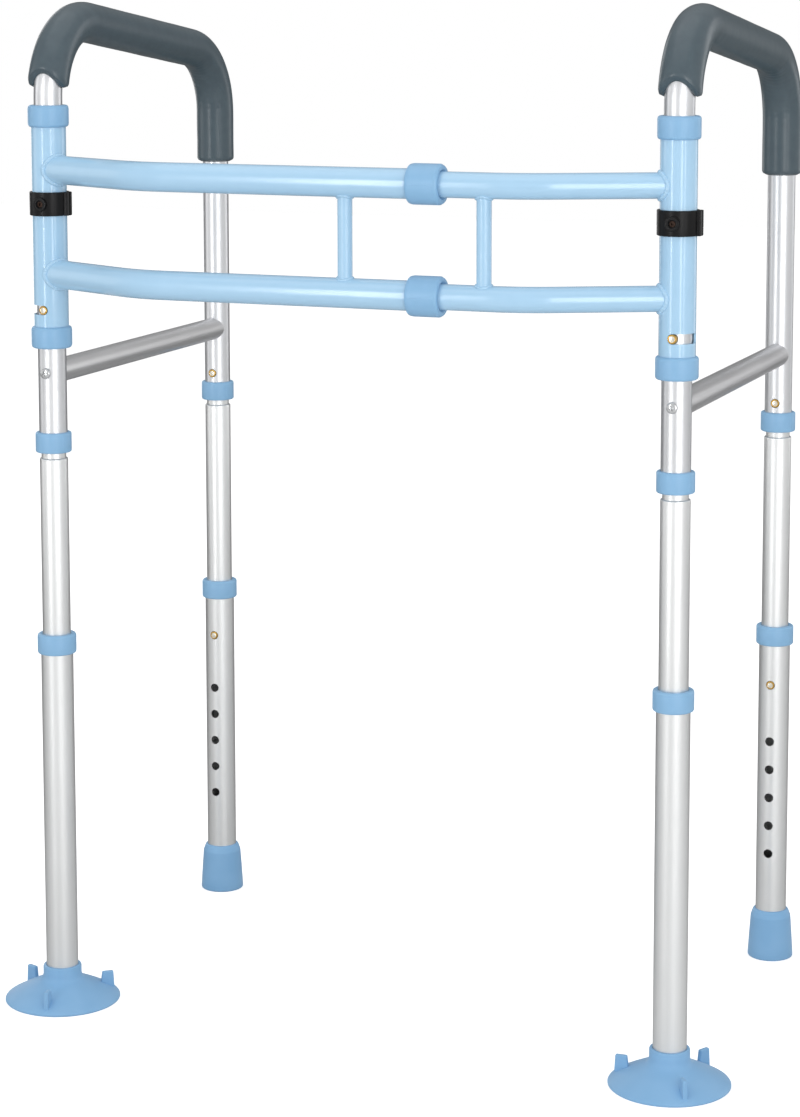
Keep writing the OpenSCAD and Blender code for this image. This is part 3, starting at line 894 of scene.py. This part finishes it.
handleSizes = {
    "corner": 791 * mm,      # height where the arm's line meets the cup-side upright
    "fall": 39 * mm,
    "bend": 58 * mm,
}
gripSizes = {
    "diameter": 32 * mm,
    "frontTurn": 12.5,       # degrees into the bend where the grip begins
    "frontCut": 5,           # degrees more that its end is cut aslant
    "frontDip": 0.33,        # how far the end's sides hang below its front, as a share of radius
    "endRound": 3.5 * mm,
    "ringSpacing": 1.5 * mm,
    "lump": 0.12 * mm,
    "crease": 0.06 * mm,
}


def handlePath(side, low):
    x = legX[side]
    top = handleSizes["corner"]
    return bentPath([
        Vector((x, cupY, low)), Vector((x, cupY, top)),
        Vector((x, tipY, top - handleSizes["fall"])), Vector((x, tipY, low))],
        handleSizes["bend"], 28)


def makeHandle(side, body):
    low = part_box(f"{side}_handle_tube")[0].z
    path = handlePath(side, low)
    plane = Vector((1, 0, 0))
    outer = pathRings(path, plane, tubes["upright"] / 2, 96)
    inner = pathRings(path, plane, tubes["uprightBore"] / 2, 96)
    piece = loft(f"{side}HandleTube", outer + inner[::-1], loop=True)
    jointZ = boxMiddle(f"{side}_cup_joint_button").z
    hole = tubes["buttonHole"]
    x = legX[side]
    cut(piece, [
        shifted(drill(hole, sleeveSizes["slotZ"], -90), x, cupY),
        shifted(drill(hole, jointZ, 90), x, cupY),
        shifted(drill(hole, jointZ, -90), x, tipY)])
    finished(piece, body, "anodised_aluminium", uprightAluminium, f"{side}_handle_tube")


# where a path is at a distance along it
def alongPath(path, distance):
    for a, b in zip(path, path[1:]):
        length = (b - a).length
        if distance <= length:
            return a + (b - a) * distance / length
        distance -= length
    return path[-1]


# how far along the tube the grip's front end is pulled back at an angle round it
def endLift(a, radius):
    slant = math.tan(math.radians(gripSizes["frontCut"])) * math.cos(a)
    return (slant + gripSizes["frontDip"] * math.cos(2 * a)) * radius


def makeGrip(side, body):
    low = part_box(f"{side}_foam_grip")[0].z
    path = handlePath(side, low)
    bend = handleSizes["bend"]
    total = sum((b - a).length for a, b in zip(path, path[1:]))
    first = (path[1] - path[0]).length + bend * math.radians(gripSizes["frontTurn"])
    count = round((total - first) / gripSizes["ringSpacing"])
    line = [alongPath(path, first + (total - first) * k / count) for k in range(count + 1)]
    ways = pathDirections(line)
    bends = [(ways[min(i + 3, count)] - ways[max(i - 3, 0)]).length for i in range(count + 1)]
    tightest = max(bends)
    plane = Vector((1, 0, 0))
    radius = gripSizes["diameter"] / 2
    bore = tubes["upright"] / 2 + 0.05 * mm
    steps = 96
    rings = []
    inner = []
    for i, (point, way) in enumerate(zip(line, ways)):
        gone = (total - first) * i / count
        left = total - first - gone
        across = plane.cross(way)
        near = min(gone, left, gripSizes["endRound"]) / gripSizes["endRound"]
        shrink = gripSizes["endRound"] * (1 - math.sqrt(max(0, 1 - (1 - near) ** 2)))
        fade = max(0, 1 - gone / (22 * mm)) ** 2
        fold = (bends[i] / tightest) ** 2
        ring = []
        for k in range(steps):
            a = 2 * math.pi * k / steps
            out = across * math.cos(a) + plane * math.sin(a)
            spot = point + out * radius
            lump = noise.noise(spot * 45) * gripSizes["lump"] + noise.noise(spot * 140) * 0.03 * mm
            inside = max(0, -math.cos(a)) ** 3
            wave = math.sin(gone / (6.5 * mm) * 2 * math.pi + 1.2 * math.sin(a * 2))
            lump += wave * fold * inside * gripSizes["crease"]
            spot = point + out * (radius - shrink + lump)
            ring.append(spot + way * endLift(a, radius - shrink) * fade)
        rings.append(ring)
        if i % 6 == 0 or i == count:
            turns = [2 * math.pi * k / steps for k in range(steps)]
            inner.append([point + (across * math.cos(a) + plane * math.sin(a)) * bore
                          + way * endLift(a, bore) * fade for a in turns])
    piece = loft(f"{side}FoamGrip", rings + inner[::-1], loop=True)
    finished(piece, body, "grip_foam", gripFoam, f"{side}_foam_grip")


def makeSideBar(side, body):
    x = legX[side]
    z = boxMiddle(f"{side}_side_bar").z
    piece = saddledRod(f"{side}SideBar", Vector((x, cupY, z)), Vector((x, tipY, z)),
                       Vector((0, 0, 1)), tubes["sideBar"] / 2, tubes["upright"] / 2 - 0.1 * mm)
    finished(piece, body, "anodised_aluminium", sideBarAluminium, f"{side}_side_bar")


screwSizes = {"head": 8.5 * mm, "rise": 1.6 * mm, "brim": 0.7 * mm, "recess": 1.1 * mm}


def makeSideBarScrews(side, body):
    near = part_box(f"{side}_side_bar_screws")[0].y
    z = boxMiddle(f"{side}_side_bar_screws").z
    head = screwSizes["head"] / 2
    dome = [(head * math.cos(math.radians(a)), screwSizes["brim"] + screwSizes["rise"]
             * math.sin(math.radians(a))) for a in range(0, 90, 10)]
    top = screwSizes["brim"] + screwSizes["rise"]
    screw = turned("screw", [(0, -34 * mm), (2.3 * mm, -34 * mm), (2.5 * mm, -33.6 * mm),
                             (2.5 * mm, 0), (head - 0.2 * mm, 0), (head, 0.2 * mm), *dome,
                             (0, top)], 64)
    blades = []
    for turn in (0, 90):
        wide = 2.1 * mm
        thin = 0.45 * mm
        rings = [[Vector((x, y, z)) for x, y in ((-a, -b), (a, -b), (a, b), (-a, b))]
                 for z, a, b in ((top - screwSizes["recess"], wide * 0.7, thin * 0.7),
                                 (top + 0.5 * mm, wide * 1.1, thin * 1.1))]
        blade = loft("blade", rings)
        fillEnds(blade)
        blades.append(moved(blade, Matrix.Rotation(math.radians(turn + 20), 4, "Z")))
    cut(screw, blades)
    placed(screw, (0, near + top - midY, 0), 90, "X")
    piece = copied(f"{side}SideBarScrews", screw, steel, 2, turn=(0, 0, math.pi))
    shifted(piece, legX[side], midY, z)
    finished(piece, body, "bright_steel", steel, f"{side}_side_bar_screws")


def makeJointCollars(side, body):
    low, high = boxSpan(f"{side}_joint_collars", 2)
    outer = collarSizes["joint"]
    bore = tubes["upright"] + collarSizes["fit"]
    profile = ringProfile(outer, 0, high - low, bore, collarSizes["jointLipBore"],
                          collarSizes["jointLip"], collarSizes["jointEdge"])
    ring = withPartingLines(turned("ring", profile), outer, 1.8 * mm, high - low - 1.8 * mm, 30)
    placed(ring, (legX[side], cupY, high), 180, "X")
    piece = copied(f"{side}JointCollars", ring, bluePlastic, 2, step=(0, tipY - cupY, 0))
    finished(piece, body, "blue_plastic", bluePlastic, f"{side}_joint_collars")


def makeExtension(side, end, body):
    node = f"{side}_{end}_leg_extension"
    low, high = boxSpan(node, 2)
    shoulder = high - 49 * mm
    outer = tubes["upright"] / 2
    bore = tubes["uprightBore"] / 2
    neck = bore - 0.1 * mm
    piece = turned(f"{side}{end.capitalize()}LegExtension", rounded([
        (bore, low, edge), (outer, low, edge), (outer, shoulder + 1.2 * mm, 1 * mm),
        (neck, shoulder + 1.4 * mm), (neck, high, edge), (neck - 1.3 * mm, high, edge),
        (neck - 1.3 * mm, shoulder - 3 * mm), (bore, shoulder - 3 * mm)]))
    cut(piece, [drill(tubes["buttonHole"], boxMiddle(f"{side}_{end}_{kind}_button").z,
                      holeTurn[end]) for kind in ("height", "joint")])
    shifted(piece, legX[side], endY[end])
    finished(piece, body, "anodised_aluminium", legAluminium, node)


# snap buttons

buttonSizes = {"barrel": 6.9 * mm, "rim": 1.25 * mm, "groove": 0.3 * mm, "flange": 1 * mm}


def makeButton(node, name, body, way, axisPoint):
    low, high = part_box(node)
    inner = abs((high.y if way < 0 else low.y) - axisPoint.y)
    outer = abs((low.y if way < 0 else high.y) - axisPoint.y)
    flange = (high.x - low.x) / 2
    barrel = buttonSizes["barrel"] / 2
    well = barrel - buttonSizes["rim"]
    piece = turned(name, rounded([
        (0, inner), (flange, inner, 0.15 * mm), (flange, inner + buttonSizes["flange"], 0.15 * mm),
        (barrel, inner + buttonSizes["flange"]), (barrel, outer, 0.5 * mm),
        (well, outer, 0.3 * mm),
        (well - 0.15 * mm, outer - buttonSizes["groove"]), (0, outer - 0.08 * mm)]), 48)
    painted(piece, brass, paleMetal)
    for face in piece.data.polygons:
        spot = face.center
        if math.hypot(spot.x, spot.y) < well and spot.z > outer - 0.5 * mm:
            face.material_index = 1
    placed(piece, axisPoint, -90 * way, "X")
    finished(piece, body, "brass_button", None, node)


for side in sides:
    body = f"{side}_side_frame"
    makeHandle(side, body)
    makeGrip(side, body)
    makeSideBar(side, body)
    makeSideBarScrews(side, body)
    makeJointCollars(side, body)
    makeExtension(side, "cup", body)
    makeExtension(side, "tip", body)
    repainted(f"{side}_button_springs", steel)
    spots = {"sleeve_button": (-1, cupY), "cup_joint_button": (1, cupY),
             "tip_joint_button": (-1, tipY), "cup_height_button": (1, cupY),
             "tip_height_button": (-1, tipY)}
    for kind, (way, y) in spots.items():
        node = f"{side}_{kind}"
        name = side + "".join(word.capitalize() for word in kind.split("_"))
        makeButton(node, name, node, way, Vector((legX[side], y, boxMiddle(node).z)))
for level, z in barZ.items():
    node = f"{level}_width_button"
    spot = Vector((boxMiddle(node).x, barY, z))
    makeButton(node, f"{level}WidthButton", node, 1, spot)
repainted("width_button_springs", steel)
print("side frames ready")


# lower legs

legSizes = {"pitch": 24 * mm, "holes": 7, "leftOut": 1}
cupSizes = {"fins": 3, "turn": {"left": 39, "right": 62}, "thickness": 3.6 * mm}
tipSizes = {"grooves": 4, "grooveDepth": 1.2 * mm}


def makeLegTube(side, end, body):
    node = f"{side}_{end}_leg_tube"
    low, high = boxSpan(node, 2)
    name = f"{side}{end.capitalize()}LegTube"
    piece = grown(emptyPiece(name), drilledTube, {
        "Diameter": tubes["leg"], "Bore": tubes["legBore"], "Length": high - low,
        "Hole Diameter": tubes["buttonHole"], "Pitch": legSizes["pitch"],
        "First Hole": boxMiddle(f"{side}_{end}_height_button").z - low,
        "Holes": legSizes["holes"], "Left Out": legSizes["leftOut"], "Material": legAluminium})
    placed(piece, (legX[side], endY[end], (low + high) / 2), holeTurn[end], "Z")
    finished(piece, body, "anodised_aluminium", legAluminium, node)


def makeLegCollar(side, end, body):
    node = f"{side}_{end}_leg_collar"
    low, high = boxSpan(node, 2)
    outer = collarSizes["leg"]
    profile = ringProfile(outer, 0, high - low, tubes["leg"] + collarSizes["fit"],
                          tubes["legBore"] + 0.1 * mm, collarSizes["legLip"],
                          collarSizes["legEdge"])
    piece = withPartingLines(turned("ring", profile), outer, 2 * mm, high - low - 2 * mm, 35)
    piece.name = f"{side}{end.capitalize()}LegCollar"
    shifted(piece, legX[side], endY[end], low)
    finished(piece, body, "blue_plastic", bluePlastic, node)


def makeSuctionCup(side, body):
    node = f"{side}_suction_cup"
    low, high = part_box(node)
    rim = (high.x - low.x) / 2
    top = high.z
    well = tubes["leg"] / 2 + 0.02 * mm
    dome = [(r * mm, (2 + 13.5 * (1 - ((r - 18) / (rim / mm - 18)) ** 1.15)) * mm)
            for r in (44, 41, 38, 35, 32, 29, 26, 23)]
    profile = [(0, 9 * mm), (8 * mm, 8.6 * mm), (16 * mm, 7.8 * mm), (24 * mm, 6.4 * mm),
               (31 * mm, 4.8 * mm), (37 * mm, 2.9 * mm), (rim - 4.5 * mm, 0.5 * mm),
               (rim - 4 * mm, 0), (rim - 0.6 * mm, 0), (rim, 0.5 * mm), (rim, 1.4 * mm),
               (rim - 0.5 * mm, 2.1 * mm), *dome,
               (20.4 * mm, 14.9 * mm), (18.4 * mm, 15.8 * mm), (17 * mm, 17 * mm),
               (16 * mm, 18.6 * mm), (15.3 * mm, 20.6 * mm), (15.3 * mm, top - 1.4 * mm),
               (14.9 * mm, top - 0.5 * mm),
               (13.8 * mm, top), (well + 0.5 * mm, top), (well, top - 0.5 * mm), (well, 14 * mm),
               (0, 14 * mm)]
    cup = turned("cup", profile, 128)
    outline = rounded([
        (rim - 15 * mm, 5 * mm), (rim - 3.6 * mm, 1.8 * mm), (rim - 4.6 * mm, 18 * mm, 0.8 * mm),
        (rim - 13.4 * mm, 18 * mm, 0.8 * mm), (rim - 14.2 * mm, 12 * mm)])
    half = cupSizes["thickness"] / 2
    middle = Vector((rim - 9 * mm, 0, 10 * mm))
    rings = []
    for y, inset in ((-half, 0.6), (-half + 0.35 * mm, 0.15), (-half + 0.7 * mm, 0),
                     (half - 0.7 * mm, 0), (half - 0.35 * mm, 0.15), (half, 0.6)):
        share = 1 - inset * mm / (7 * mm)
        rings.append([middle + (Vector((x, 0, z)) - middle) * share + Vector((0, y, 0))
                      for x, z in outline])
    fin = loft("fin", [[middle + Vector((0, -half, 0))], *rings, [middle + Vector((0, half, 0))]])
    turn = math.radians(cupSizes["turn"][side])
    moved(fin, Matrix.Rotation(turn, 4, "Z"))
    step = 2 * math.pi / cupSizes["fins"]
    fins = copied("fins", fin, blueRubber, cupSizes["fins"], turn=(0, 0, step))
    cut(cup, [fins], "UNION")
    cup.name = f"{side}SuctionCup"
    shifted(cup, legX[side], cupY)
    finished(cup, body, "blue_rubber", blueRubber, node)


def makeRubberTip(side, body):
    node = f"{side}_rubber_tip"
    low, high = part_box(node)
    foot = (high.x - low.x) / 2
    top = high.z
    well = tubes["leg"] / 2 + 0.02 * mm
    sole = [(0, 0)]
    pitch = (foot - 3 * mm) / tipSizes["grooves"]
    depth = tipSizes["grooveDepth"]
    for k in range(tipSizes["grooves"]):
        r = 2.5 * mm + k * pitch
        sole += [(r, 0), (r + 0.2 * mm, depth), (r + 1.2 * mm, depth), (r + 1.4 * mm, 0)]
    wall = rounded([
        (foot - 3 * mm, 0), (foot, 0, 1.2 * mm), (foot - 0.3 * mm, 7 * mm, 3 * mm),
        (foot - 1.1 * mm, 20 * mm, 6 * mm),
        (foot - 2.2 * mm, top - 6 * mm, 4 * mm), (foot - 4.4 * mm, top, 2.2 * mm), (well, top)])
    piece = turned(f"{side}RubberTip", sole + wall[:-1] + [
        (well + 0.5 * mm, top), (well, top - 0.5 * mm), (well, 8 * mm), (0, 8 * mm)], 128)
    shifted(piece, legX[side], tipY)
    finished(piece, body, "blue_rubber", blueRubber, node)


for side in sides:
    for end in ("cup", "tip"):
        body = f"{side}_{end}_leg"
        makeLegTube(side, end, body)
        makeLegCollar(side, end, body)
    makeSuctionCup(side, f"{side}_cup_leg")
    makeRubberTip(side, f"{side}_tip_leg")
print("lower legs ready")


# studio

studio = {
    "floorColour": 0.9,
    "floorGlow": 0.5,
    "floorSize": 14,
    "worldFront": 0.85,      # towards the camera's side
    "worldBack": 0.15,
    "worldTop": 0.7,
    "frontTurn": 30,         # azimuth the brightest side of the surroundings is at
    "strips": [  # azimuth, distance, height, width, length, power
        (-20, 2.4, 0.75, 0.18, 1.5, 8),
        (37, 2.4, 0.75, 0.35, 1.5, 8),
        (56, 2.4, 0.75, 0.16, 1.5, 4),
        (-75, 2.4, 0.8, 0.9, 1.6, 4),
        (140, 2.6, 0.9, 0.9, 1.6, 6),
        (-130, 2.6, 0.9, 0.9, 1.6, 6),
    ],
    "topSize": 2.2,
    "topPower": 9,
}
lens = {
    "place": (0.8147, -2.1108, 0.8191),
    "yaw": 21.37,
    "pitch": 7.2,
    "roll": -0.09,
    "focal": 92.4,
    "shift": -0.1974,
}


def towardsFront(tree, direction):
    a = math.radians(studio["frontTurn"])
    way = (math.sin(a), -math.cos(a), 0)
    return vectorMath(tree, "DOT_PRODUCT", direction, way)["Value"]


def makeFloor():
    bm = bmesh.new()
    bmesh.ops.create_grid(bm, x_segments=1, y_segments=1, size=studio["floorSize"] / 2)
    floor = meshPiece("floor", bm)
    material, tree, shader, place = newMaterial("floorPaint", Roughness=0.8)
    skin = useGroup(tree, "skin", place, Grain_Scale=400, Wave_Scale=3, Wave_Share=0.5)
    pale = studio["floorColour"]
    tone = mixedColour(tree, skin.outputs["Waves"], (pale, pale, pale), (pale - 0.01,) * 3)
    seen = addNode(tree, "ShaderNodeLightPath").outputs["Is Camera Ray"]
    # painted shade: for rays other than the camera's the floor is dark behind the frame and pale
    # towards the front, so the tubes reflect dark edges
    backShadedFloorForReflections = mixedColour(tree, ranged(tree, towardsFront(tree, place), 0, 1, -0.8, 0.6),
                       (0.2, 0.2, 0.2), (0.85, 0.85, 0.85))
    feed(tree, mixedColour(tree, seen, backShadedFloorForReflections, tone), shader, "Base Color")
    glow = studio["floorGlow"]
    feed(tree, mixedColour(tree, seen, (0, 0, 0), (glow, glow, glow)), shader, "Emission Color")
    shader.inputs["Emission Strength"].default_value = 1
    painted(floor, material)


def makeWorld():
    world = bpy.data.worlds.new("studio")
    bpy.context.scene.world = world
    world.use_nodes = True
    tree = world.node_tree
    shade = tree.nodes["Background"]
    place = addNode(tree, "ShaderNodeTexCoord").outputs["Generated"]
    side = ranged(tree, towardsFront(tree, place), studio["worldBack"], studio["worldFront"],
                  -0.75, 0.15)
    parts = addNode(tree, "ShaderNodeSeparateXYZ")
    feed(tree, place, parts, 0)
    rise = ranged(tree, parts.outputs["Z"], 0, 1, 0.2, 0.8)
    seen = addNode(tree, "ShaderNodeLightPath").outputs["Is Camera Ray"]
    sky = mixedNumber(tree, rise, side, studio["worldTop"])
    feed(tree, mixedNumber(tree, seen, sky, 1), shade, "Strength")
    shade.inputs["Color"].default_value = (1, 1, 1, 1)


def softBox(name, place, target, width, height, power):
    data = bpy.data.lights.new(name, "AREA")
    data.shape = "RECTANGLE"
    data.size = width
    data.size_y = height
    data.energy = power
    lamp = addObject(name, data)
    lamp.location = place
    lamp.rotation_euler = (Vector(target) - Vector(place)).to_track_quat("-Z", "Y").to_euler()
    lamp.visible_camera = False


def makeLights():
    for i, (azimuth, distance, height, width, length, power) in enumerate(studio["strips"]):
        a = math.radians(azimuth)
        place = (distance * math.sin(a), -distance * math.cos(a), height)
        softBox(f"strip{i}", place, (0, 0, height), width, length, power)
    size = studio["topSize"]
    softBox("top", (0, -0.2, 2.4), (0, 0, 0.5), size, size, studio["topPower"])


def makeCamera():
    data = bpy.data.cameras.new("camera")
    camera = addObject("camera", data)
    data.lens = lens["focal"]
    data.shift_y = lens["shift"]
    camera.matrix_world = (
        Matrix.Translation(lens["place"])
        @ Matrix.Rotation(math.radians(lens["yaw"]), 4, "Z")
        @ Matrix.Rotation(math.radians(90 - lens["pitch"]), 4, "X")
        @ Matrix.Rotation(math.radians(lens["roll"]), 4, "Z"))
    bpy.context.scene.camera = camera


makeFloor()
makeWorld()
makeLights()
makeCamera()
bpy.context.scene.view_settings.view_transform = "Standard"
print("studio ready")

bpy.context.view_layer.update()
